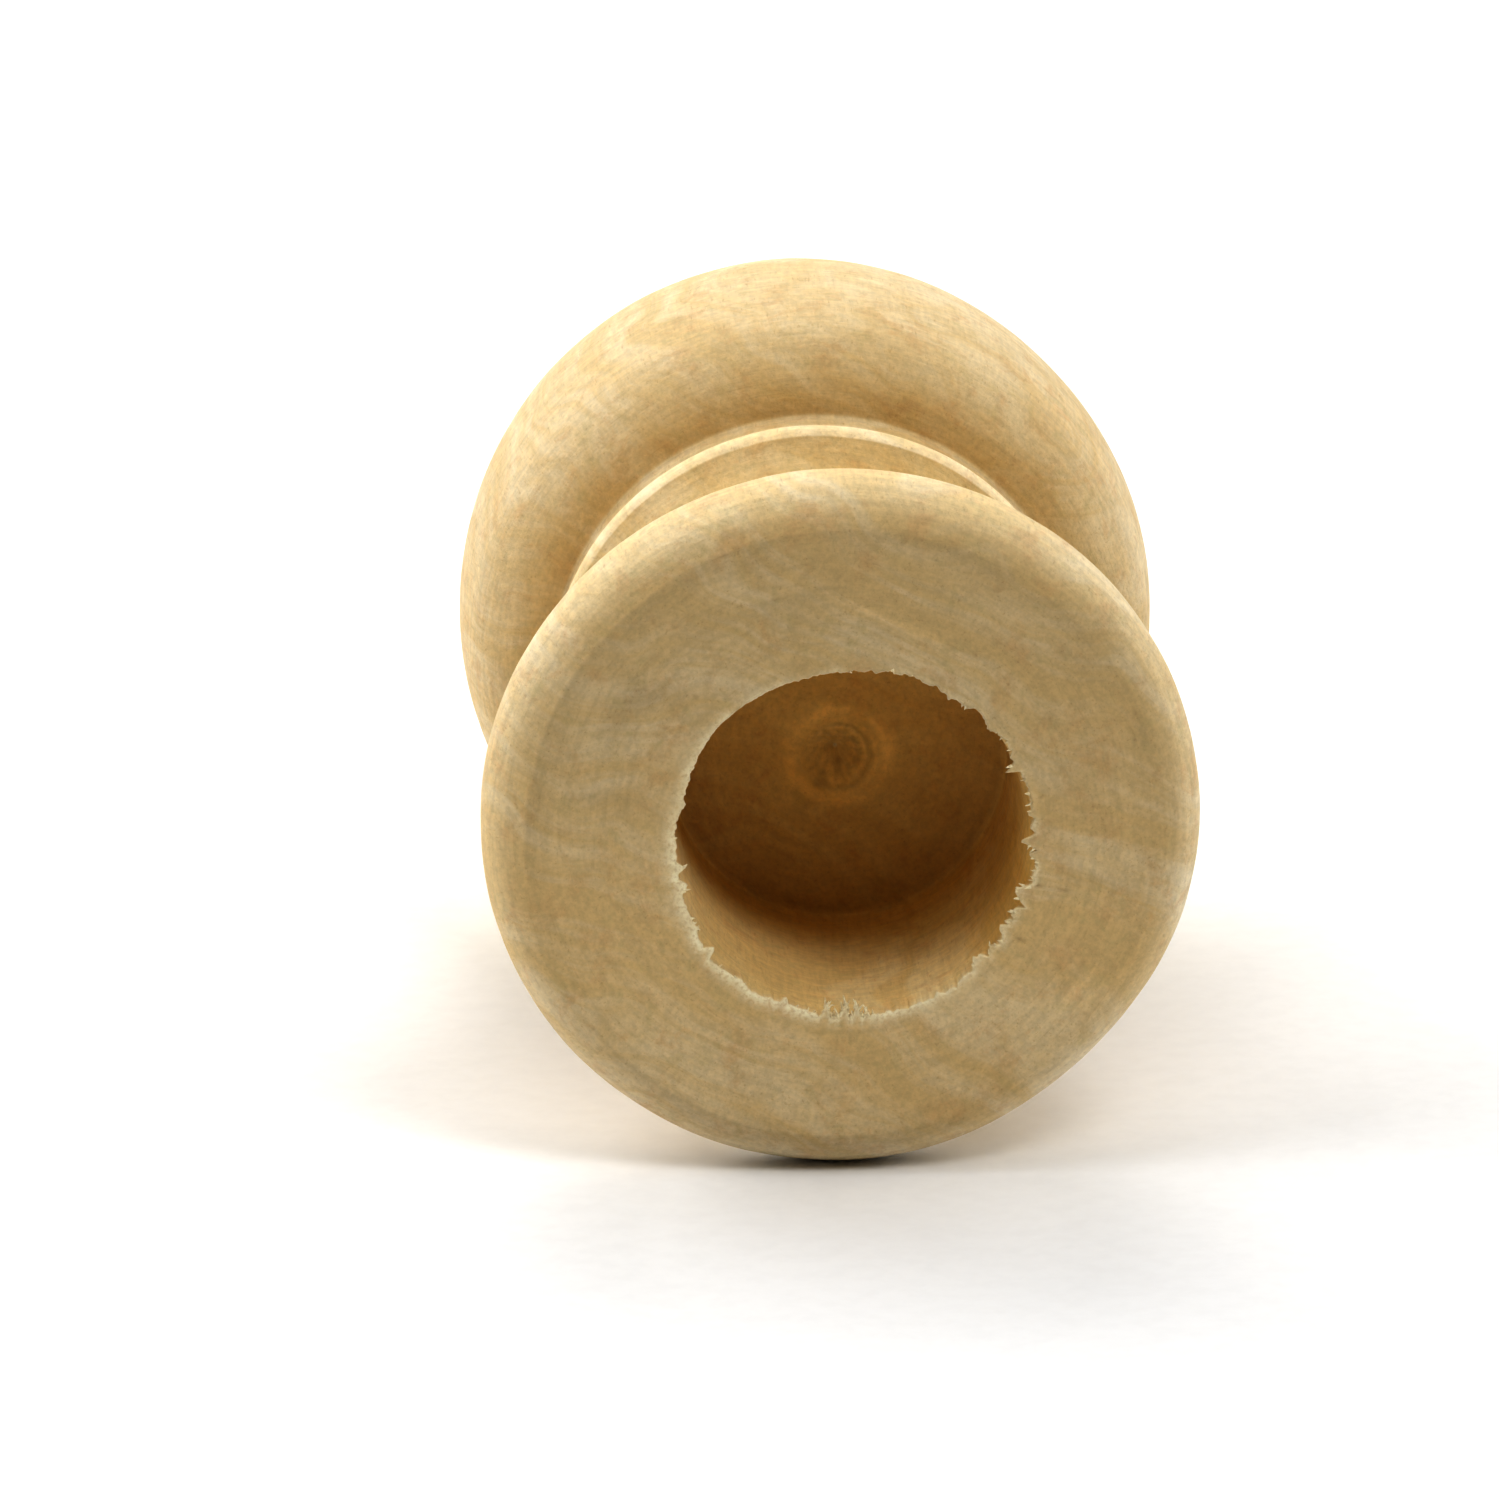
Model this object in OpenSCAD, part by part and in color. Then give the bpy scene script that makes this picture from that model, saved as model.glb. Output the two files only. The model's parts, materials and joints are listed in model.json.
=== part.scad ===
// A turned wooden cap: a round head, a neck and a base flange in one piece of wood,
// with a blind socket drilled into the base for a dowel.
// It lies on its side. The turning axis runs along Y, the socket opens towards -Y,
// and the flange and the head touch the ground at Z = 0.
//
// The outline is a chain of arcs from the base face to the tip of the head. Each arc starts
// where the last one ended, and a heading in degrees says which way the surface faces there:
// 0 faces the base, 90 faces straight out from the axis, and 180 faces the tip.

/* [Blank] */
// Diameter of the blank, which the flange and the head both keep
blank_d = 27; // [26.5:0.1:28]

/* [Base flange] */
// Radius of the rounded edge between the base face and the rim
base_edge_r = 2.4; // [1:0.1:3]
// Width of the straight band on the rim
rim_band = 0.2; // [0.2:0.1:2]
// Radius of the rounded edge at the back of the rim
back_edge_r = 2; // [1:0.1:3]

/* [Neck] */
// Diameter of the neck
neck_d = 17.8; // [17:0.1:18.5]
// Width of the straight band at the bottom of the neck
neck_band = 5; // [1:0.1:8]
// Radius of the rounded crest of the ridge
crest_r = 1; // [0.5:0.1:1.2]
// Radius of the shallow dip behind the crest
dip_r = 2; // [1:0.1:3]
// Width of the straight band between the dip and the head
groove_band = 0.75; // [0.2:0.05:1.5]
// Radius of the inside corner where the head starts
foot_r = 0.2; // [0.1:0.05:0.4]

/* [Head] */
// Radius of the tight curve at the front of the head
shoulder_r = 2; // [1.5:0.1:2.4]
// Radius of the curve that eases the shoulder into the side
ease_r = 4.9; // [4.4:0.1:5.4]
// Radius of the flat curve along the side of the head
side_r = 21; // [16:0.5:24]

/* [Socket] */
// Diameter of the drilled socket
socket_d = 13; // [8:0.1:13.5]
// Depth of the socket to its flat floor
socket_depth = 11; // [6:0.5:14]
// How far the socket is drilled to the right of the turning axis
socket_right = 0.35; // [-0.5:0.05:0.5]
// How far the socket is drilled below the turning axis
socket_down = 0.35; // [-0.5:0.05:0.5]
// Diameter of the dimple that the point of the drill leaves in the floor
dimple_d = 3.8; // [2:0.1:5]
// Depth of the dimple
dimple_depth = 1.8; // [0.5:0.1:2.5]

/* [Quality] */
// Steps in each arc of the outline
arc_steps = 14; // [4:1:20]
// Facets around the turned body on screen
facets = 128; // [48:8:256]

/* [Hidden] */

$fn = facets;
wood = [0.88, 0.77, 0.56];
blank_r = blank_d / 2;
neck_r = neck_d / 2;
cut = 0.01;

// Headings where one arc hands over to the next
base_edge_start = 22;
out = 90;
back_edge_end = 150;
rise_end = 50;
crest_end = 110;
head_start = 5;
shoulder_end = 40;
ease_end = 78;
side_end = 105;
tip = 180;

// Radius of the cove that takes the back of the flange down to the neck
cove_r = (blank_r - back_edge_r * (1 - sin(back_edge_end)) - neck_r) / (1 - sin(back_edge_end));

// Distance from the axis at which the head starts, so that its side reaches the blank
head_start_r = blank_r - side_r * (1 - sin(ease_end)) - ease_r * (sin(ease_end) - sin(shoulder_end))
    - shoulder_r * (sin(shoulder_end) - sin(head_start));

// Highest point of the ridge, from the band and the dip behind it
ridge_top_r = head_start_r - foot_r * (1 - sin(head_start)) + (dip_r + crest_r) * (1 - sin(crest_end));

// Radius of the hollow rise from the neck to the crest of the ridge
rise_r = (ridge_top_r - neck_r) / (1 - sin(rise_end)) - crest_r;

// Radius of the dome that closes the head on the axis
dome_r = (blank_r - side_r * (1 - sin(side_end))) / sin(side_end);

// An arc as [distance out, distance along] steps from its own start: r > 0 bulges, r < 0 is hollow
function arc(r, from, to) =
    [for (i = [1:arc_steps]) let (heading = from + (to - from) * i / arc_steps)
        r * [sin(heading) - sin(from), cos(from) - cos(heading)]];

// A list of arcs joined end to end from a starting point
function chain(start, arcs, i = 0) =
    i == len(arcs) ? [] :
    let (stretch = [for (step = arcs[i]) start + step])
        concat(stretch, chain(stretch[len(stretch) - 1], arcs, i + 1));

base_corner = [blank_r - base_edge_r * (1 - sin(base_edge_start)), 0];
outline = chain(base_corner, [
    arc(base_edge_r, base_edge_start, out),
    [[0, rim_band]],
    arc(back_edge_r, out, back_edge_end),
    arc(-cove_r, back_edge_end, out),
    [[0, neck_band]],
    arc(-rise_r, out, rise_end),
    arc(crest_r, rise_end, crest_end),
    arc(-dip_r, crest_end, out),
    [[0, groove_band]],
    arc(-foot_r, out, head_start),
    arc(shoulder_r, head_start, shoulder_end),
    arc(ease_r, shoulder_end, ease_end),
    arc(side_r, ease_end, side_end),
    arc(dome_r, side_end, tip)
]);
body_l = outline[len(outline) - 1][1];

// The outline spun about the turning axis, before drilling
module turning() {
    rotate_extrude()
        polygon(concat([[0, 0], base_corner], outline));
}

// What the drill takes out: a flat-bottomed socket and the dimple of its point
module drilling() {
    translate([0, 0, -cut])
        cylinder(h = socket_depth + cut, d = socket_d);
    translate([0, 0, socket_depth - cut])
        cylinder(h = dimple_depth + cut, d1 = dimple_d, d2 = 0);
}

module turned_body() {
    color(wood)
        translate([0, -body_l / 2, blank_r])
            rotate([-90, 0, 0])
                difference() {
                    turning();
                    translate([socket_right, socket_down, 0])
                        drilling();
                }
}

turned_body();
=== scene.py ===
"""The looks of the turned wooden cap: its torn surface with its wear, its grain, painted light and
shade, and a soft white studio.
"""

import json
import math
import random

import bpy
import numpy as np
from mathutils import Euler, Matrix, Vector, noise


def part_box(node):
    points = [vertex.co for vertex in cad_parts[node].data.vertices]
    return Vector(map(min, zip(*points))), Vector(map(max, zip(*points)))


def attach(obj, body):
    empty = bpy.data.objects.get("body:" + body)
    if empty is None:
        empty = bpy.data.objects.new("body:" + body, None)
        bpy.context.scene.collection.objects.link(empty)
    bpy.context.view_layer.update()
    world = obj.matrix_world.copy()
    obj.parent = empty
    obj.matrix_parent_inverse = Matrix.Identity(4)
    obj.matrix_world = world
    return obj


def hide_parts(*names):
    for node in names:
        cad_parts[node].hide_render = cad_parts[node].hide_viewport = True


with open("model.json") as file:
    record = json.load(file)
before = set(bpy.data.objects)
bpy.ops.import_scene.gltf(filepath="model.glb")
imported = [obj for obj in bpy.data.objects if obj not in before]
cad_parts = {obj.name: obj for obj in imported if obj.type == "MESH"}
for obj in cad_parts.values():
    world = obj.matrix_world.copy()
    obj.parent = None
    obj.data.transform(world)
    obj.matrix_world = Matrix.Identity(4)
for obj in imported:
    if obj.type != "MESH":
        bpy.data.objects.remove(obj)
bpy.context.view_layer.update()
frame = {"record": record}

MM = 0.001

# ---------------------------------------------------------------- sizes, in millimetres
low, high = (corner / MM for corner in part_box("turned_body"))
BLANK_R = (high.x - low.x) / 2
AXIS_Z = BLANK_R
FACE_Y = low.y
BODY_L = high.y - low.y

SOCKET = next(m for m in frame["record"]["mounts"] if m["name"] == "dowel_socket")
SOCKET_R = SOCKET["dims"]["r_mm"]
SOCKET_DEPTH = SOCKET["dims"]["length_mm"]
SOCKET_X = SOCKET["pos_m"][0] / MM
SOCKET_UP = SOCKET["pos_m"][2] / MM - AXIS_Z
# The dimple of the drill's point. Its rim is filled with torn fibres, so the cone that shows is smaller.
DIMPLE_R = 1.9
DIMPLE_DEPTH = 1.8
CONE_R = 0.72 * DIMPLE_R
CONE_DEPTH = 0.7 * DIMPLE_DEPTH
# The drill wandered a little, so the bore is slightly wider towards the mouth
FLARE = 0.24
FLARE_DEPTH = 6.0

# The turned outline, as part.scad has it. Headings: 0 faces the base, 90 outwards, 180 the tip.
BASE_EDGE_R, BASE_EDGE_START = 2.4, 22
RIM_BAND = 0.2
BACK_EDGE_R, BACK_EDGE_END = 2.0, 150
NECK_R = 8.9
NECK_BAND = 5.0
RISE_END = 50
CREST_R, CREST_END = 1.0, 110
DIP_R = 2.0
GROOVE_BAND = 0.75
FOOT_R = 0.2
HEAD_START = 5
SHOULDER_R, SHOULDER_END = 2.0, 40
EASE_R, EASE_END = 4.9, 78
SIDE_R, SIDE_END = 21.0, 105

# Where the flange ends and the head begins, as distances from the base face
RIM_END = 5.0
FLANGE_END = 7.5
HEAD_BEGIN = 21.5

# How finely the mesh is cut around the axis: at the torn mouth, on the base face and its edge,
# and everywhere else
MOUTH_COLUMNS = 960
FACE_COLUMNS = 480
PLAIN_COLUMNS = 240
FINE_TO = 4.0

# The edge of the torn mouth: (angle in degrees, mm from the socket's own axis)
EDGE = [
    (-180, 6.62), (-172, 6.60), (-160, 6.68), (-152, 6.74), (-140, 6.92), (-128, 6.76), (-122, 6.86),
    (-113, 6.72), (-102, 6.78), (-88, 6.80), (-67, 6.80), (-56, 6.88), (-50, 6.74), (-42, 6.76),
    (-36, 6.80), (-26, 6.66), (-22, 6.84), (-11, 6.94), (-5, 6.80), (6, 6.74), (14, 6.86), (27, 6.80),
    (34, 6.92), (40, 6.80), (47, 6.86), (53, 6.78), (63, 6.84), (74, 6.88), (83, 6.76), (106, 6.75),
    (137, 6.86), (156, 6.66), (165, 6.60), (172, 6.66), (180, 6.62),
]
TORN_WIDTH = 0.24
# Below the edge: (depth in mm, share of the torn edge's shape, how far the fibres stand)
TORN_WALL = [
    (1.3, 0.0, 0.0), (1.05, 0.2, 0.0), (0.8, 0.5, 0.0), (0.55, 0.8, 0.1),
    (0.36, 0.95, 0.35), (0.2, 1.0, 0.75), (0.08, 1.0, 1.0),
]
# Around the edge: distances outwards on the base face, which is plain from PLAIN_FACE outwards
TORN_RIM = (0.0, 0.05, 0.11, 0.19, 0.3, 0.46, 0.7, 1.0, 1.45)
PLAIN_FACE = 1.97
# The distance over which the rings of the face would move from the socket's centre to the turning axis
CENTRE_DRIFT = 6.0
# Fibres that the drill left standing: (angle in degrees, length in mm, width in degrees)
TEETH = [
    (25, 0.44, 1.6), (41, 0.16, 2.0), (57, 0.12, 1.6), (9, 0.24, 1.6), (-1, 0.54, 2.6), (-5, 0.22, 1.4),
    (-19, 0.50, 3.6), (-24, 0.22, 1.4), (-32, 0.32, 2.8), (-39, 0.24, 1.8), (-46, 0.32, 3.4),
    (-62, 0.20, 1.6), (-79, 0.16, 1.4), (-86, 0.28, 1.2), (-89, 0.50, 1.4), (-93, 0.54, 1.6),
    (-99, 0.38, 1.4), (-113, 0.24, 1.4), (-143, 0.34, 2.0), (-152, 0.14, 1.8), (-167, 0.28, 2.4),
    (-173, 0.28, 1.6), (165, 0.16, 1.8),
]
# Loose fibres at the torn edge: (angle in degrees, spread in degrees, how many, length in mm)
TUFTS = [
    (-93, 10, 70, 0.36), (-20, 30, 34, 0.24), (25, 14, 10, 0.28),
    (-170, 16, 10, 0.24), (-140, 40, 12, 0.2), (60, 30, 10, 0.16),
]
# Pits in the base face: (right, up) from the turning axis, radius and depth in mm
PITS = [
    (-5.0, 5.9, 0.24, 0.10), (-5.5, 5.5, 0.16, 0.06), (-4.7, 5.5, 0.14, 0.06), (3.9, 7.3, 0.20, 0.12),
    (4.9, 7.0, 0.13, 0.07), (7.6, 0.4, 0.14, 0.08), (7.9, -0.6, 0.16, 0.10), (7.3, -2.1, 0.16, 0.10),
    (8.2, -2.3, 0.14, 0.09), (7.4, 1.4, 0.12, 0.06), (6.6, -4.2, 0.13, 0.07), (7.9, -1.4, 0.10, 0.06),
]
# Streaks in the base face: (right, up) to (right, up), width in mm, and how much paler
STREAKS = [
    (-1.4, 9.7, 4.8, 7.1, 0.14, 0.7), (1.2, 8.6, 5.6, 6.2, 0.12, 0.4),
    (-8.4, 5.3, -5.6, 5.8, 0.5, -0.6), (-10.6, 1.8, -7.2, 1.4, 0.35, -0.5),
    (8.0, -1.7, 11.2, -2.2, 0.3, -0.5), (7.6, -7.3, 9.6, -5.4, 0.25, 0.7),
    (8.6, -7.2, 10.0, -5.9, 0.16, 0.5), (-9.0, 3.4, -7.4, 6.6, 0.6, -0.4),
    (6.8, 3.6, 9.6, 1.4, 0.4, -0.3), (-6.5, -8.0, -2.0, -10.2, 0.2, -0.4),
    (2.0, -9.4, 6.4, -8.2, 0.2, -0.3), (-4.6, 8.2, 0.6, 9.9, 0.4, -0.4),
]

# Out of true: the flange is flattened by wear at its lower right, and the head stands proud at its right
FLAT_ANGLE, FLAT_SPREAD, FLAT_DEPTH = -48, 26, 0.26
PROUD_ANGLE, PROUD_SPREAD, PROUD_HEIGHT = 12, 26, 0.16


# ---------------------------------------------------------------- the turned outline
def arc(radius, start, end, steps):
    """Steps [out, along] from an arc's own start. A negative radius is hollow."""
    a = math.radians(start)
    for i in range(1, steps + 1):
        b = math.radians(start + (end - start) * i / steps)
        yield radius * (math.sin(b) - math.sin(a)), radius * (math.cos(a) - math.cos(b))


def straight(length, steps):
    """Steps [out, along] of a straight band."""
    for i in range(1, steps + 1):
        yield 0.0, length * i / steps


def chain(point, stretches):
    """Points (radius, along, deep, crest) of stretches joined end to end from a starting point."""
    points = []
    for stretch, deep_from, deep_to, crest in stretches:
        start = point
        steps = list(stretch)
        for i, (out, along) in enumerate(steps, 1):
            point = (start[0] + out, start[1] + along)
            points.append((*point, deep_from + (deep_to - deep_from) * i / len(steps), crest))
    return points


def sine(degrees):
    """The sine of an angle in degrees."""
    return math.sin(math.radians(degrees))


def turned_outline():
    """Points (radius, along, deep, crest) from the edge of the base face to the tip."""
    cove_r = (BLANK_R - BACK_EDGE_R * (1 - sine(BACK_EDGE_END)) - NECK_R) / (1 - sine(BACK_EDGE_END))
    head_start_r = (
        BLANK_R
        - SIDE_R * (1 - sine(EASE_END))
        - EASE_R * (sine(EASE_END) - sine(SHOULDER_END))
        - SHOULDER_R * (sine(SHOULDER_END) - sine(HEAD_START))
    )
    groove_r = head_start_r - FOOT_R * (1 - sine(HEAD_START))
    ridge_top_r = groove_r + (DIP_R + CREST_R) * (1 - sine(CREST_END))
    rise_r = (ridge_top_r - NECK_R) / (1 - sine(RISE_END)) - CREST_R
    dome_r = (BLANK_R - SIDE_R * (1 - sine(SIDE_END))) / sine(SIDE_END)
    corner = (BLANK_R - BASE_EDGE_R * (1 - sine(BASE_EDGE_START)), 0.0)
    # The last three numbers of each stretch: painted shade in the hollows and on the head's front, from
    # its start to its end, and a painted highlight on the ridge (above 0) or painted shade in the dip
    # and on the head's front (below 0)
    stretches = [
        (arc(BASE_EDGE_R, BASE_EDGE_START, 90, 18), 0, 0, 0),
        (straight(RIM_BAND, 1), 0, 0, 0),
        (arc(BACK_EDGE_R, 90, BACK_EDGE_END, 12), 0, 0.1, 0),
        (arc(-cove_r, BACK_EDGE_END, 90, 12), 0.1, 0.8, 0),
        (straight(NECK_BAND, 6), 0.8, 0.8, 0),
        (arc(-rise_r, 90, RISE_END, 9), 0.8, 0.6, 0),
        (arc(CREST_R, RISE_END, CREST_END, 12), 0.1, 0.0, 1),
        (arc(-DIP_R, CREST_END, 90, 6), 0.3, 0.5, -0.4),
        (straight(GROOVE_BAND, 3), 0.5, 0.3, 0),
        (arc(-FOOT_R, 90, HEAD_START, 6), 0.3, 0.5, 0),
        (arc(SHOULDER_R, HEAD_START, SHOULDER_END, 8), 0.5, 0.5, -0.2),
        (arc(EASE_R, SHOULDER_END, EASE_END, 14), 0.5, 0.3, -0.3),
        (arc(SIDE_R, EASE_END, SIDE_END, 18), 0.3, 0, 0),
        (arc(dome_r, SIDE_END, 180, 34), 0, 0, 0),
    ]
    return [(*corner, 0, 0)] + chain(corner, stretches)


# ---------------------------------------------------------------- shapes around the axis
def angles(columns):
    """The angle of each column around the axis."""
    return np.arange(columns) * 2 * np.pi / columns


def away(a, degrees):
    """How far each angle is from a direction, in degrees."""
    return (np.degrees(a) - degrees + 180) % 360 - 180


def bump(distance, spread):
    """A smooth bump: 1 at no distance, and nearly 0 from twice the spread."""
    return np.exp(-((distance / spread) ** 2))


def around(a, turns, seed):
    """Smooth noise from -1 to 1 that closes on itself around the axis, finer with more turns."""
    where = [Vector((turns * math.cos(t), turns * math.sin(t), seed)) for t in a]
    return np.array([noise.noise(w) for w in where])


def mouth_radius(a, standing=1.0):
    """The torn edge of the mouth, from the socket's own axis. standing is how far the teeth stand."""
    knots = np.array(EDGE)
    degrees = away(a, 0)
    edge = np.interp(degrees, knots[:, 0], knots[:, 1])
    roughness = 0.6 + 0.7 * bump(away(a, 10), 75) - 0.4 * bump(away(a, 128), 30)
    steps = np.round(2.6 * around(a, 26, 2.5)) / 2.6
    edge = edge + roughness * (0.09 * steps + 0.08 * around(a, 44, 3.5) + 0.05 * around(a, 90, 4.5))
    for angle, length, width in TEETH:
        leaning = away(a, angle + 0.3 * width)
        edge = edge - standing * length * np.clip(1 - np.abs(leaning) / width, 0, 1) ** 0.75
    return edge


def out_of_true(a, along):
    """How much the turned outline is off its true radius, at each angle and distance along."""
    flange = 1 / (1 + math.exp((along - FLANGE_END) / 0.8))
    head = 1 / (1 + math.exp((HEAD_BEGIN - along) / 0.6))
    flat = -FLAT_DEPTH * flange * bump(away(a, FLAT_ANGLE), FLAT_SPREAD)
    proud = PROUD_HEIGHT * head * bump(away(a, PROUD_ANGLE), PROUD_SPREAD)
    return flat + proud


def ripple(points, size, height, seed):
    """Smooth noise in space, for slight unevenness that handling wore into it."""
    where = [Vector((p[0] / size, p[1] / size, p[2] / size + seed)) for p in points]
    return height * np.array([noise.noise(w) for w in where])


# ---------------------------------------------------------------- rings of the mesh
MARKS = ("torn", "bored", "rubbed", "deep", "worn", "pit")


class Skin:
    """A surface made of rings around the axis.

    Neighbouring rings have the same number of columns, or one has twice as many as the other. Each ring
    carries marks for the wood's colour: torn fibres (with a painted highlight on the lip of the mouth),
    inside the bore (with painted shade deeper in it and on its right side), rubbed by the drill's point,
    painted shade deep in a groove, painted light and shade with the base face's streaks (paler, or below
    zero darker) and pit.
    """

    def __init__(self):
        self.rings = []
        self.marks = {name: [] for name in MARKS}

    def add(self, points, **marks):
        self.rings.append(np.asarray(points))
        for name in MARKS:
            self.marks[name].append(np.broadcast_to(marks.get(name, 0.0), len(points)))

    def faces(self):
        found = []
        first = 0
        for near, far in zip(self.rings, self.rings[1:]):
            second = first + len(near)
            found += bridge(first, len(near), second, len(far))
            first = second
        return found


def bridge(a, count_a, b, count_b):
    """Faces between ring a and ring b, which start at vertices a and b."""
    if count_b == 1:
        return [(a + k, b, a + (k + 1) % count_a) for k in range(count_a)]
    if count_a == 1:
        return [(a, b + k, b + (k + 1) % count_b) for k in range(count_b)]
    if count_a == count_b:
        return [
            (a + k, b + k, b + (k + 1) % count_b, a + (k + 1) % count_a) for k in range(count_a)
        ]
    found = []
    if count_b == 2 * count_a:
        for k in range(count_a):
            here, there = a + k, a + (k + 1) % count_a
            fine = [b + 2 * k, b + 2 * k + 1, b + (2 * k + 2) % count_b]
            found += [(here, fine[0], fine[1]), (here, fine[1], there), (there, fine[1], fine[2])]
        return found
    for k in range(count_b):
        here, there = b + k, b + (k + 1) % count_b
        fine = [a + 2 * k, a + 2 * k + 1, a + (2 * k + 2) % count_a]
        found += [(fine[0], here, fine[1]), (fine[1], here, there), (fine[1], there, fine[2])]
    return found


def ring(radius, along, columns, share=0.0):
    """Points of one ring in mm. share moves its centre from the turning axis (0) to the socket's (1)."""
    a = angles(columns)
    x = share * SOCKET_X + radius * np.cos(a)
    up = share * SOCKET_UP + radius * np.sin(a)
    return np.stack([x, FACE_Y + along + 0 * a, AXIS_Z + up], 1)


def dome_columns(radius):
    """Fewer columns where the tip of the head closes."""
    columns = PLAIN_COLUMNS
    while columns > 30 and radius < BLANK_R * 0.5 * columns / PLAIN_COLUMNS:
        columns //= 2
    return columns


def floor_of_socket(skin):
    """From the point of the dimple out to the wall: torn fibres, and the ring that the drill rubbed."""
    skin.add(ring(0, SOCKET_DEPTH + CONE_DEPTH, 1, 1), rubbed=-0.5)
    coarse = [2.8, 3.1, 3.5, 4.0, 4.6, 5.2, 5.8, 6.2]
    for radius in [0.12, 0.24, 0.36, 0.48] + list(np.arange(0.6, 2.7, 0.08)) + coarse:
        columns = PLAIN_COLUMNS if radius > 0.6 else PLAIN_COLUMNS // 2
        columns = columns if radius > 0.2 else PLAIN_COLUMNS // 4
        a = angles(columns)
        cone = CONE_DEPTH * max(0.0, 1 - radius / CONE_R) ** 1.1
        uneven = 0.16 * around(a, 1.3, 5.5)
        rim = bump(radius - 1.82 + uneven, 0.34) * (0.75 + 0.5 * around(a, 1.4, 15.5))
        turns = np.sin(2 * np.pi * radius / 0.46 + a + 1.8 * around(a, 1.2, 6.5))
        swirl = turns * bump(radius - 1.15, 0.6) * (0.55 + 0.45 * np.cos(a - 0.2))
        torn = bump(radius - 0.8, 0.6) * around(a, 3 + 3 * radius, 7.5)
        notch = bump(away(a, -75), 24) * bump(radius - 0.55, 0.2)
        notch = notch + bump(away(a, -118), 12) * bump(radius - 1.3, 0.25)
        depth = SOCKET_DEPTH + cone - 0.05 * rim + 0.04 * swirl + 0.06 * torn + 0.10 * notch
        rubbed = 0.9 * rim + 0.42 * swirl + 0.45 * torn - 0.8 * notch - 0.3 * bump(radius, 0.35)
        # The whole floor takes the bore's darkest painted shade
        skin.add(ring(radius, depth, columns, 1), rubbed=np.clip(rubbed, -1, 1), bored=1.0)


def bore_radius(depth):
    """The bore's radius at a depth below the base face."""
    return SOCKET_R + FLARE * max(0.0, 1 - depth / FLARE_DEPTH)


def shaded(a):
    """Painted shade: the right side of the socket's wall is browner than its left side."""
    return 0.35 + 0.55 * bump(away(a, -12), 48)


def wall_of_socket(skin):
    """From the floor to the mouth, with the faint rings that the drill left."""
    depths = [0.0, 0.15, 0.35, 0.7] + list(np.arange(1.3, SOCKET_DEPTH - 1.5, 0.42))
    for up_from_floor in depths:
        columns = PLAIN_COLUMNS if up_from_floor < 1.0 else FACE_COLUMNS
        a = angles(columns)
        spiral = 0.014 * np.sin(up_from_floor * 3.1 + a)
        fibres = 0.02 * around(a, 14, up_from_floor * 0.3)
        blend_in = 0.12 * bump(up_from_floor, 0.12)
        radius = bore_radius(SOCKET_DEPTH - up_from_floor) - blend_in + spiral + fibres
        # Painted shade: browner towards the floor of the bore and on its right side
        bored = np.maximum(0.35 + 0.65 * bump(up_from_floor, 3.5), shaded(a))
        skin.add(ring(radius, SOCKET_DEPTH - up_from_floor, columns, 1), bored=bored)


def mouth(skin):
    """The torn edge: from the wall, out over the standing fibres, and on to the base face."""
    a = angles(MOUTH_COLUMNS)
    edge = mouth_radius(a)
    bare = mouth_radius(a, 0.0)
    ragged = 0.03 * around(a, 60, 7.5)
    for depth, share, standing in TORN_WALL:
        bore = bore_radius(depth)
        radius = bore + share * (bare - bore) + standing * (edge - bare) + ragged * share
        fuzz = 0.03 * around(a, 50, depth * 5)
        # Pale standing fibres, and painted shade on the right side of the wall under them
        marks = {"torn": 0.5 * standing, "bored": shaded(a) * (1 - 0.5 * standing)}
        skin.add(ring(radius, depth + fuzz * share, MOUTH_COLUMNS, 1), **marks)
    settle = np.mean(bare)
    # A painted highlight: the pale torn lip is stronger and wider towards the lower left
    lit = np.cos(a - math.radians(235))
    caught = 0.62 + 0.5 * lit
    width = TORN_WIDTH * (1.1 + 0.5 * lit)
    for outward in TORN_RIM:
        curl = 0.05 * bump(outward, 0.04) - 0.03 * bump(outward - 0.09, 0.1)
        fuzz = 0.035 * bump(outward, 0.3) * around(a, 44, 8.5 + outward)
        radius = edge + outward - (edge - settle) * min(1.0, outward)
        torn = bump(outward, width) * np.clip(caught + 0.5 * around(a, 9, 9.5), 0.1, 1.2)
        share = 1 - outward / CENTRE_DRIFT
        skin.add(ring(radius, curl + fuzz, MOUTH_COLUMNS, share), torn=torn)


def base_face(skin, corner_r):
    """The rest of the base face, out to its soft corner."""
    a = angles(FACE_COLUMNS)
    inner = SOCKET_R + PLAIN_FACE
    steps = 26
    for i in range(steps):
        t = i / steps
        radius = inner + (corner_r - inner) * t
        share = (1 - 1.6 / CENTRE_DRIFT) * (1 - t) ** 1.5
        true = out_of_true(a, 0.0) * t**2
        darker = -0.4 * bump(corner_r - radius - 0.35, 0.4) * (0.6 + 0.4 * around(a, 1.5, 12.5))
        skin.add(ring(radius + true, 0.006 * math.sin(radius * 9), FACE_COLUMNS, share), worn=darker)


def paler(a, along):
    """Painted light and shade on the rim of the flange: paler (above 0) towards the upper left, darker
    (below 0) at the bottom and the lower right, with a painted highlight along the crease at the lower
    right.
    """
    rim = 1 / (1 + math.exp((along - RIM_END) / 0.5))
    crease = 0.6 * bump(along - 0.02, 0.05) * bump(away(a, -42), 34)
    low = 0.9 * bump(away(a, -112), 45)
    return rim * (0.1 + 0.5 * np.cos(a - math.radians(130)) - low) + crease


def blush(a, along):
    """Where the left of the rim is a warmer colour."""
    return bump(along - 2.2, 1.8) * (1 - math.exp(-along / 0.5)) * bump(away(a, -155), 45)


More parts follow.
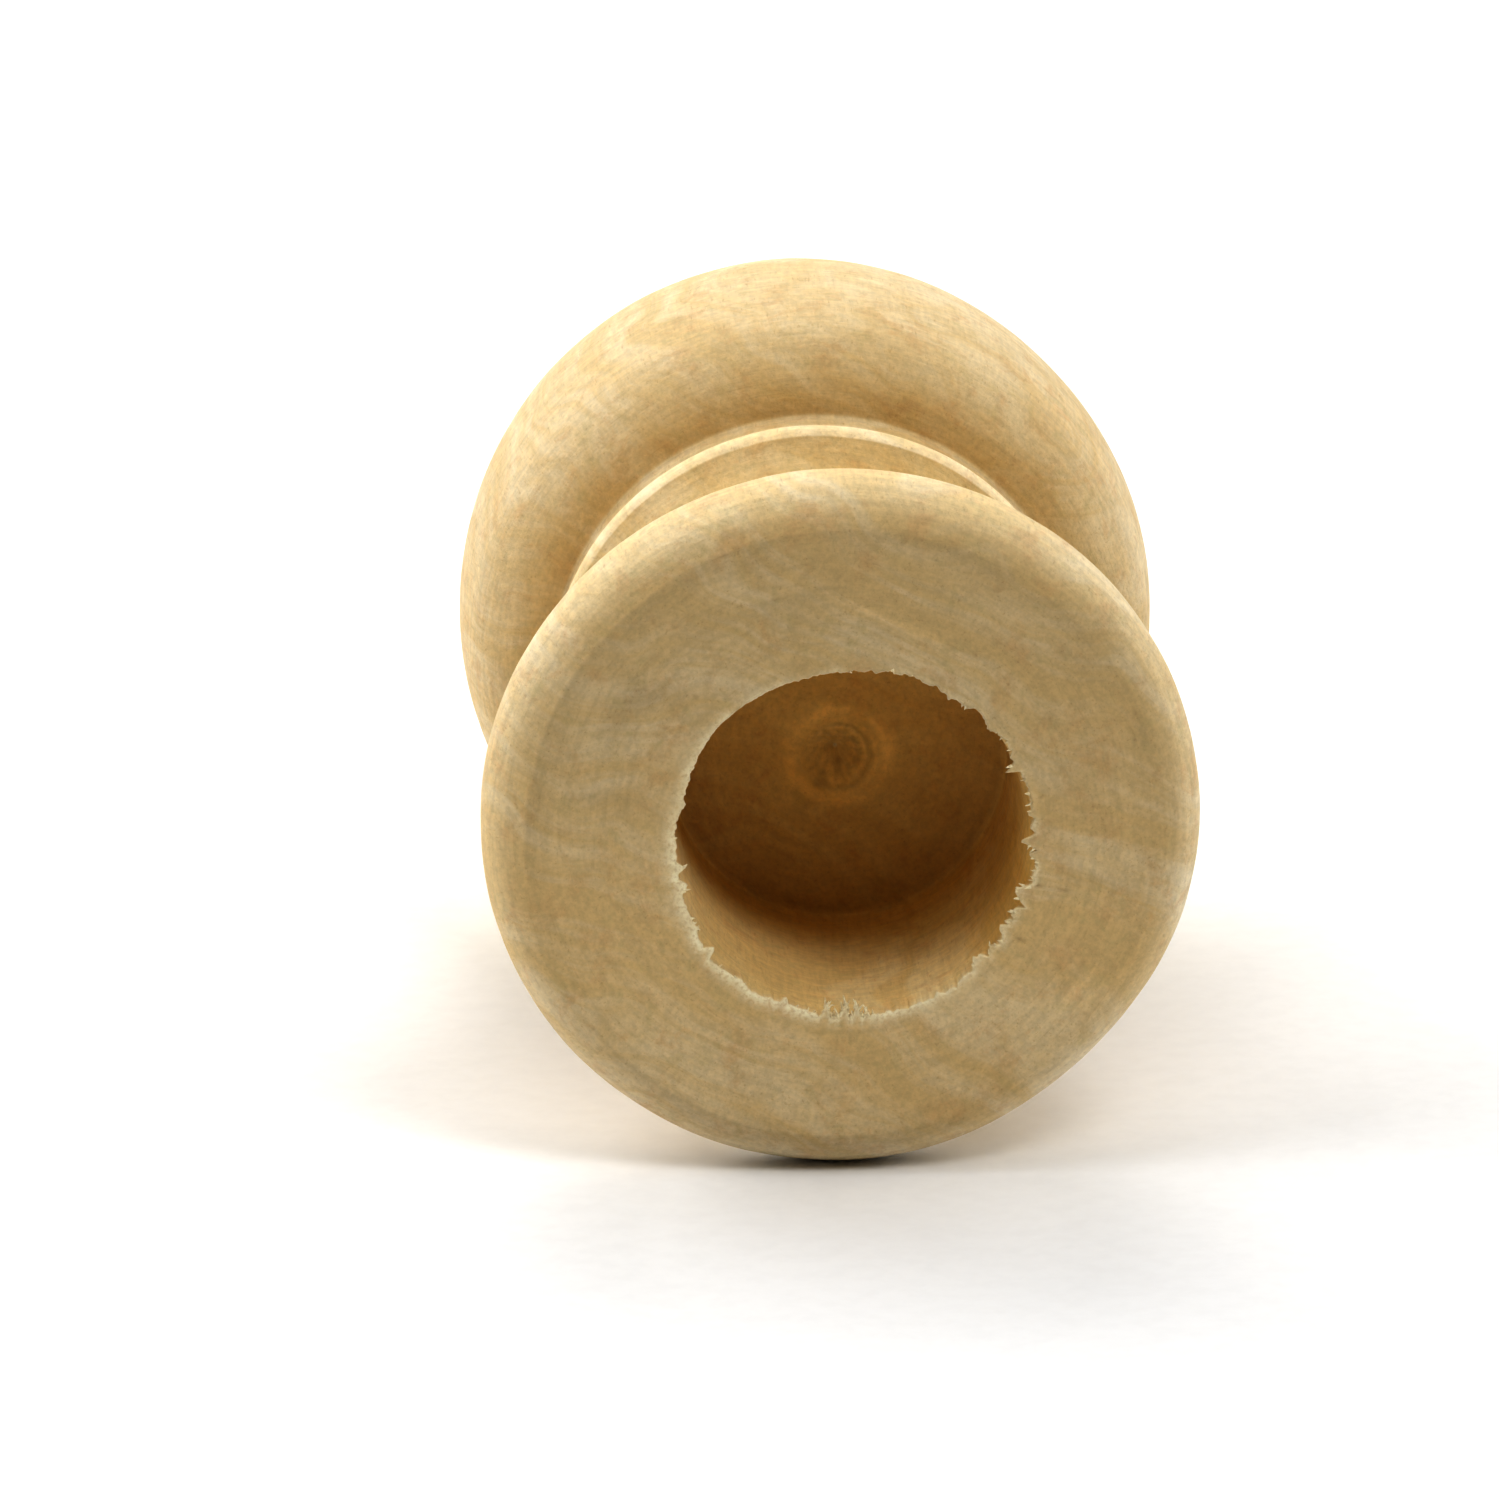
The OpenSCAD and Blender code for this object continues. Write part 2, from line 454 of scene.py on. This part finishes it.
def turned_outside(skin):
    """Everything that the lathe shaped, from the corner of the base face to the tip."""
    for radius, along, deep, crest in turned_outline():
        if radius < 0.05:
            continue
        columns = FACE_COLUMNS if along < FINE_TO else dome_columns(radius)
        a = angles(columns)
        off = out_of_true(a, along)
        # Painted shade in the hollows, stronger towards the upper right, and a warmer patch at the left
        # of the rim; painted light and shade from paler() and the crest column
        groove_shade_and_blush = deep * (1 + 0.5 * bump(away(a, 55), 45)) + 0.4 * blush(a, along)
        skin.add(ring(radius + off, along, columns), deep=groove_shade_and_blush, worn=paler(a, along) + crest)
    skin.add(ring(0, BODY_L, 1))


def on_face(points):
    """Which points lie on the base face."""
    return np.abs(points[:, 1] - FACE_Y) < 0.1


def sink_pits(points):
    """Small pits in the base face. Returns how deep in a pit each point is, from 0 to 1."""
    inside = np.zeros(len(points))
    facing = on_face(points)
    for right, up, radius, depth in PITS:
        off = np.hypot(points[:, 0] - right, (points[:, 2] - AXIS_Z - up) * 1.35)
        share = np.where(facing, bump(off, radius * 0.7), 0)
        points[:, 1] += depth * share
        inside = np.maximum(inside, share)
    return inside


def streaked(points):
    """How much paler the streaks leave each point of the base face."""
    right, up = points[:, 0], points[:, 2] - AXIS_Z
    paler_by = np.zeros(len(points))
    for right_a, up_a, right_b, up_b, width, strength in STREAKS:
        run = np.array([right_b - right_a, up_b - up_a])
        t = ((right - right_a) * run[0] + (up - up_a) * run[1]) / (run @ run)
        inside = np.clip(t, 0, 1)
        off = np.hypot(right - right_a - inside * run[0], up - up_a - inside * run[1])
        paler_by += strength * bump(off, width) * (1 - np.abs(2 * inside - 1) ** 3)
    return paler_by * on_face(points)


def dusky(points):
    """How much painted shade darkens the upper half of the base face at each point."""
    facing = np.clip(1 - np.abs(points[:, 1] - FACE_Y) / 0.8, 0, 1)
    return facing / (1 + np.exp((AXIS_Z - points[:, 2]) / 2.5))


def attribute(mesh, name, values):
    """One number per point, for the material to read."""
    mesh.attributes.new(name, "FLOAT", "POINT").data.foreach_set("value", np.asarray(values, np.float32))


def finish_mesh(name, points, faces, material):
    """A smooth shaded object from points in mm."""
    mesh = bpy.data.meshes.new(name)
    mesh.from_pydata((np.asarray(points) * MM).tolist(), [], faces)
    mesh.polygons.foreach_set("use_smooth", [True] * len(mesh.polygons))
    mesh.materials.append(material)
    piece = bpy.data.objects.new(name, mesh)
    bpy.context.scene.collection.objects.link(piece)
    return piece


def turned_wood(material):
    """The whole body as one closed skin."""
    skin = Skin()
    floor_of_socket(skin)
    wall_of_socket(skin)
    mouth(skin)
    base_face(skin, turned_outline()[0][0])
    turned_outside(skin)
    points = np.concatenate(skin.rings)
    marks = {name: np.concatenate(rings) for name, rings in skin.marks.items()}
    # The base face's streaks, and painted shade on its upper half
    marks["worn"] = marks["worn"] + streaked(points) - 0.95 * dusky(points)
    marks["pit"] = sink_pits(points)
    outwards = points - np.array([0, 0, AXIS_Z])
    outwards[:, 1] = 0
    outwards /= np.maximum(np.linalg.norm(outwards, axis=1), 1e-6)[:, None]
    wear = ripple(points, 4.0, 0.035, 11.0) + ripple(points, 1.3, 0.012, 17.0)
    points += outwards * (wear * (marks["bored"] == 0))[:, None]
    piece = finish_mesh("turned_wood", points, skin.faces(), material)
    for name, values in marks.items():
        attribute(piece.data, name, values)
    return piece


# ---------------------------------------------------------------- loose fibres at the mouth
def fibre(start, direction, length, thickness, draw):
    """Points and faces of one tapered, slightly bent fibre with a closed end."""
    sides, stations = 5, 5
    along = Vector(direction).normalized()
    bend = Vector((draw.uniform(-1, 1), draw.uniform(-0.6, 0.2), draw.uniform(-1, 1)))
    across = along.cross(Vector((0.3, 1, 0.2))).normalized()
    beside = along.cross(across)
    bent = 0.15 * length
    points = []
    for i in range(stations):
        t = i / stations
        centre = Vector(start) + along * (length * t) + bend * (bent * t * t)
        radius = thickness / 2 * (1 - t) ** 0.7
        for k in range(sides):
            turn = 2 * math.pi * k / sides
            points.append(centre + (across * math.cos(turn) + beside * math.sin(turn)) * radius)
    points.append(Vector(start) + along * length + bend * bent)
    tip = len(points) - 1
    faces = [tuple(reversed(range(sides)))]
    for i in range(stations - 1):
        for k in range(sides):
            a, b = i * sides + k, i * sides + (k + 1) % sides
            faces.append((a, b, b + sides, a + sides))
    last = (stations - 1) * sides
    faces += [(last + k, last + (k + 1) % sides, tip) for k in range(sides)]
    return [tuple(p) for p in points], faces


def loose_fibres(material):
    """The fibres that stick out of the torn edge, most of them at the bottom and at the right."""
    draw = random.Random(7)
    points, faces = [], []
    for middle, spread, count, length in TUFTS:
        for _ in range(count):
            a = math.radians(draw.gauss(middle, spread / 2))
            edge = float(mouth_radius(np.array([a]))[0])
            radius = edge + draw.uniform(0.0, 0.12)
            start = (
                SOCKET_X + radius * math.cos(a),
                FACE_Y + draw.uniform(0.0, 0.12),
                AXIS_Z + SOCKET_UP + radius * math.sin(a),
            )
            swing = a + draw.gauss(0, 0.45)
            direction = (-math.cos(swing), draw.uniform(-0.5, 0.25), -math.sin(swing))
            size = length * draw.uniform(0.5, 1.15)
            more, closed = fibre(start, direction, size, draw.uniform(0.07, 0.16), draw)
            faces += [tuple(len(points) + i for i in face) for face in closed]
            points += more
    piece = finish_mesh("mouth_fibres", points, faces, material)
    for name in MARKS:
        attribute(piece.data, name, np.full(len(points), 0.95 if name == "torn" else 0.0))
    return piece


# ---------------------------------------------------------------- materials
# How strongly the room and the far sheet shine, so that the camera sees pure white
WHITE = 1.2


class Tree:
    """Short calls for a node tree. An input is a socket, a number, a vector or a colour."""

    def __init__(self, owner):
        owner.use_nodes = True
        self.tree = owner.node_tree

    def named(self, name):
        return self.tree.nodes[name]

    def add(self, kind, inputs=(), **settings):
        made = self.tree.nodes.new(kind)
        for key, value in settings.items():
            setattr(made, key, value)
        for key, value in dict(inputs).items():
            self.feed(made.inputs[key], value)
        return made

    def feed(self, socket, value):
        if isinstance(value, bpy.types.NodeSocket):
            self.tree.links.new(value, socket)
        else:
            socket.default_value = value

    def calc(self, operation, a, b=0.0, c=0.0):
        return self.add("ShaderNodeMath", {0: a, 1: b, 2: c}, operation=operation).outputs[0]

    def times(self, a, b):
        return self.calc("MULTIPLY", a, b)

    def smooth(self, value, start, end, low=0.0, high=1.0):
        inputs = {"Value": value, "From Min": start, "From Max": end, "To Min": low, "To Max": high}
        made = self.add("ShaderNodeMapRange", inputs, interpolation_type="SMOOTHSTEP")
        return made.outputs["Result"]

    def vector(self, x, y, z):
        return self.add("ShaderNodeCombineXYZ", {"X": x, "Y": y, "Z": z}).outputs[0]

    def noise(self, vector, scale=1.0, detail=2.0, roughness=0.5, distortion=0.0, w=None):
        inputs = {
            "Vector": vector, "Scale": scale, "Detail": detail,
            "Roughness": roughness, "Distortion": distortion,
        }
        if w is not None:
            inputs["W"] = w
        made = self.add("ShaderNodeTexNoise", inputs, noise_dimensions="3D" if w is None else "4D")
        return made.outputs[0]

    def mix(self, factor, a, b, blend="MIX"):
        made = self.add("ShaderNodeMix", {0: factor, 6: a, 7: b}, data_type="RGBA", blend_type=blend)
        return made.outputs[2]

    def attribute(self, name):
        return self.add("ShaderNodeAttribute", attribute_name=name).outputs["Fac"]


def colour(r, g, b):
    """A colour with full alpha."""
    return (r, g, b, 1.0)


# The wood's own colours, and what multiplies them on end grain and in the fresh bore, and as painted
# shade deeper in the bore and in the grooves
PALE = colour(0.87, 0.745, 0.52)
HONEY = colour(0.78, 0.61, 0.34)
RUST = colour(0.72, 0.50, 0.27)
OLIVE = colour(0.68, 0.57, 0.32)
FLECK = colour(0.50, 0.32, 0.14)
END_TINT = colour(0.86, 0.80, 0.68)
FRESH_TINT = colour(1.07, 1.04, 0.89)
BORE_SHADE_TINT = colour(0.87, 0.72, 0.42)
DEEP_TINT = colour(0.82, 0.70, 0.46)
# The pale torn fibres; on the lip of the mouth this colour also paints a highlight
TORN_WOOD = colour(0.97, 0.87, 0.60)
PIT_WOOD = colour(0.40, 0.26, 0.12)
# The pith that the growth rings run around, far to the left of the turning axis and below it, in mm
PITH_X, PITH_UP = -24, -48


def wood():
    """Bare pale wood. Its fibres run along the turning axis, so both ends show end grain."""
    material = bpy.data.materials.new("pale_wood")
    t = Tree(material)
    shader = t.named("Principled BSDF")
    coordinates = t.add("ShaderNodeTexCoord")
    place = t.add("ShaderNodeVectorMath", {0: coordinates.outputs["Object"]}, operation="SCALE")
    place.inputs["Scale"].default_value = 1 / MM
    mm = place.outputs["Vector"]
    parts = t.add("ShaderNodeSeparateXYZ", {0: mm}).outputs
    x, y = parts[0], parts[1]
    up = t.calc("SUBTRACT", parts[2], AXIS_Z)
    radius = t.calc("SQRT", t.calc("ADD", t.times(x, x), t.times(up, up)))
    facing = t.add("ShaderNodeSeparateXYZ", {0: coordinates.outputs["Normal"]}).outputs[1]
    end_grain = t.smooth(t.calc("ABSOLUTE", facing), 0.55, 0.97)

    # Growth rings: wide arcs about a pith far to the lower left, wavering along the fibres
    waver = t.noise(mm, 0.12, 2.0)
    from_pith_x = t.calc("SUBTRACT", x, PITH_X)
    from_pith_up = t.calc("SUBTRACT", up, PITH_UP)
    squares = t.calc("ADD", t.times(from_pith_x, from_pith_x), t.times(from_pith_up, from_pith_up))
    ring_at = t.calc("ADD", t.calc("SQRT", squares), t.times(waver, 7.0))
    stretched = t.vector(t.times(ring_at, 0.62), t.times(y, 0.03), t.times(x, 0.05))
    growth = t.noise(stretched, 1.0, 5.0, 0.68)

    # Fibres and vessels along the axis, and the marks that the lathe left around it
    fibres = t.noise(t.vector(t.times(x, 5.5), t.times(y, 0.45), t.times(up, 5.5)), 1.0, 4.0, 0.6)
    vessels = t.noise(t.vector(t.times(x, 9), t.times(y, 1.3), t.times(up, 9)), 1.0, 2.0, 0.5)
    cosine = t.calc("DIVIDE", x, t.calc("MAXIMUM", radius, 0.2))
    sine_of = t.calc("DIVIDE", up, t.calc("MAXIMUM", radius, 0.2))
    swept = t.vector(t.times(cosine, 4.0), t.times(sine_of, 4.0), t.times(radius, 3.2))
    turning = t.noise(swept, 1.0, 4.0, 0.65, 0.0, t.times(y, 3.6))
    scratches = t.noise(swept, 2.3, 2.0, 0.5, 0.0, t.times(y, 9.0))

    # Mottled patches
    blotch = t.noise(mm, 0.42, 4.0, 0.6, 0.6)
    red = t.noise(t.vector(t.calc("ADD", x, 31), y, up), 0.75, 5.0, 0.68, 0.4)
    green = t.noise(t.vector(t.calc("ADD", x, 67), y, up), 0.95, 5.0, 0.68, 0.4)
    grit = t.noise(mm, 3.2, 4.0, 0.68)

    tone = t.mix(t.smooth(growth, 0.36, 0.64), PALE, HONEY)
    tone = t.mix(t.smooth(blotch, 0.42, 0.72, 0.0, 0.6), tone, HONEY)
    tone = t.mix(t.smooth(red, 0.50, 0.70, 0.0, 0.55), tone, RUST)
    tone = t.mix(t.smooth(green, 0.50, 0.72, 0.0, 0.50), tone, OLIVE)
    tone = t.mix(t.smooth(vessels, 0.60, 0.78, 0.0, 0.34), tone, FLECK)
    tone = t.mix(t.smooth(scratches, 0.60, 0.80, 0.0, 0.22), tone, FLECK)
    light = t.calc("ADD", t.times(fibres, 0.28), t.times(turning, 0.34))
    light = t.calc("ADD", light, t.times(grit, 0.38))
    light = t.smooth(light, 0.36, 0.64, 0.89, 1.10)
    tone = t.mix(1.0, tone, t.vector(light, light, light), "MULTIPLY")

    bored = t.attribute("bored")
    tone = tinted(t, tone, end_grain, END_TINT)
    # Inside the bore: the fresh wood's own colour, then painted shade deeper down and on the right side
    tone = tinted(t, tone, t.smooth(bored, 0.0, 0.3), FRESH_TINT)
    tone = tinted(t, tone, t.smooth(bored, 0.4, 1.0), BORE_SHADE_TINT)
    # Painted shade in the grooves and hollows, and a warmer patch at the left of the rim
    tone = tinted(t, tone, t.attribute("deep"), DEEP_TINT)
    # Painted light and shade, the base face's streaks, and the ring that the drill's point rubbed
    shade = t.calc("ADD", t.times(t.attribute("worn"), 0.16), t.times(t.attribute("rubbed"), 0.36))
    shade = t.calc("ADD", shade, 1.0)
    tone = t.mix(1.0, tone, t.vector(shade, shade, shade), "MULTIPLY")
    # Pale torn fibres, with a painted highlight on the lower left of the lip
    ragged = t.smooth(t.noise(mm, 6.0, 2.0, 0.6), 0.3, 0.6)
    torn = t.times(t.attribute("torn"), t.calc("ADD", t.times(ragged, 0.5), 0.4))
    tone = t.mix(torn, tone, TORN_WOOD)
    tone = t.mix(t.times(t.attribute("pit"), 0.6), tone, PIT_WOOD)

    relief = t.calc("ADD", t.times(fibres, 0.5), t.times(turning, 0.6))
    relief = t.calc("ADD", relief, grit)
    relief = t.calc("ADD", relief, t.times(vessels, -0.4))
    relief = t.calc("ADD", relief, t.times(scratches, 0.3))
    bumps = t.add("ShaderNodeBump", {"Height": relief, "Distance": 0.05 * MM, "Strength": 0.9})
    t.feed(shader.inputs["Base Color"], tone)
    t.feed(shader.inputs["Normal"], bumps.outputs[0])
    t.feed(shader.inputs["Roughness"], t.smooth(grit, 0.3, 0.7, 0.58, 0.74))
    shader.inputs["Specular IOR Level"].default_value = 0.3
    return material


def tinted(t, tone, amount, tint):
    """The tone, multiplied by a tint by that amount."""
    return t.mix(amount, tone, t.mix(1.0, tone, tint, "MULTIPLY"))


def paper():
    """The white sheet. It glows softly away from the part, so that its edge never shows."""
    material = bpy.data.materials.new("white_sheet")
    t = Tree(material)
    shader = t.named("Principled BSDF")
    place = t.add("ShaderNodeTexCoord").outputs["Object"]
    distance = t.add("ShaderNodeVectorMath", {0: place}, operation="LENGTH").outputs["Value"]
    mottle = t.noise(place, 900.0, 3.0, 0.6)
    shade = t.smooth(mottle, 0.3, 0.7, 0.93, 0.96)
    t.feed(shader.inputs["Base Color"], t.vector(shade, shade, shade))
    shader.inputs["Roughness"].default_value = 0.8
    shader.inputs["Specular IOR Level"].default_value = 0.2
    shader.inputs["Emission Color"].default_value = colour(1, 1, 1)
    camera_ray = t.add("ShaderNodeLightPath").outputs["Is Camera Ray"]
    seen = t.times(camera_ray, t.smooth(distance, 0.1, 0.35, 0.0, WHITE))
    glow = t.smooth(distance, 0.2, 1.0, 0.0, WHITE)
    t.feed(shader.inputs["Emission Strength"], t.calc("ADD", seen, glow))
    return material


# ---------------------------------------------------------------- studio
def sheet_floor():
    """A large round sheet under the part."""
    columns = 64
    radii = (0.05, 0.2, 0.6, 2.0, 6.0)
    points = [(0.0, 0.0, 0.0)]
    for r in radii:
        points += [(r * math.cos(a), r * math.sin(a), 0.0) for a in angles(columns)]
    faces = [(0, 1 + k, 1 + (k + 1) % columns) for k in range(columns)]
    for i in range(len(radii) - 1):
        faces += bridge(1 + i * columns, columns, 1 + (i + 1) * columns, columns)
    mesh = bpy.data.meshes.new("white_sheet")
    mesh.from_pydata(points, [], faces)
    mesh.materials.append(paper())
    sheet = bpy.data.objects.new("white_sheet", mesh)
    bpy.context.scene.collection.objects.link(sheet)
    return sheet


def lamp(name, place, size, power):
    """A round soft white lamp that looks at the part and that no camera sees."""
    data = bpy.data.lights.new(name, "AREA")
    data.shape = "DISK"
    data.size = size
    data.energy = power
    made = bpy.data.objects.new(name, data)
    made.location = place
    towards = Vector((0, 0, AXIS_Z * MM)) - Vector(place)
    made.rotation_euler = towards.to_track_quat("-Z", "Y").to_euler()
    made.visible_camera = False
    bpy.context.scene.collection.objects.link(made)


def studio():
    """Soft lamps above, behind and at both sides, and smaller ones in front that light the socket."""
    lamp("overhead", (0.0, 0.08, 0.45), 0.40, 0.55)
    lamp("behind", (0.0, 0.35, 0.35), 0.30, 0.74)
    lamp("front_left", (-0.30, -0.10, 0.38), 0.30, 0.78)
    lamp("back_left", (-0.30, 0.30, 0.20), 0.30, 1.12)
    lamp("back_right", (0.30, 0.30, 0.20), 0.30, 0.45)
    lamp("front_top", (0.14, -0.24, 0.40), 0.16, 0.55)
    lamp("front_right", (0.28, -0.22, 0.34), 0.20, 0.40)
    lamp("left", (-0.45, 0.22, 0.10), 0.24, 0.22)
    lamp("right", (0.45, 0.22, 0.10), 0.24, 0.55)
    world = bpy.data.worlds.new("white_room")
    bpy.context.scene.world = world
    t = Tree(world)
    background = t.named("Background")
    camera_ray = t.add("ShaderNodeLightPath").outputs["Is Camera Ray"]
    background.inputs["Color"].default_value = colour(1, 1, 1)
    t.feed(background.inputs["Strength"], t.smooth(camera_ray, 0, 1, 0.02, WHITE))


def camera():
    """A long lens in front of the socket, a little to the left of the axis and above it."""
    data = bpy.data.cameras.new("camera")
    data.sensor_width = 36
    data.lens = 321.6
    data.clip_start = 0.01
    data.clip_end = 20
    left, in_front, height = 26.97, 474.38, 169.25
    tilt, turn = 72.217, -2.832
    made = bpy.data.objects.new("camera", data)
    made.location = Vector((-left, FACE_Y - in_front, height)) * MM
    made.rotation_euler = Euler((math.radians(tilt), 0, math.radians(turn)))
    bpy.context.scene.collection.objects.link(made)
    bpy.context.scene.camera = made


def picture():
    """Plain display of the light, with a photograph's contrast."""
    view = bpy.context.scene.view_settings
    view.view_transform = "Standard"
    view.gamma = 0.75


wood_material = wood()
body = turned_wood(wood_material)
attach(body, "root")
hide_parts("turned_body")

fibres = loose_fibres(wood_material)
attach(fibres, "root")

sheet_floor()
studio()
camera()
picture()
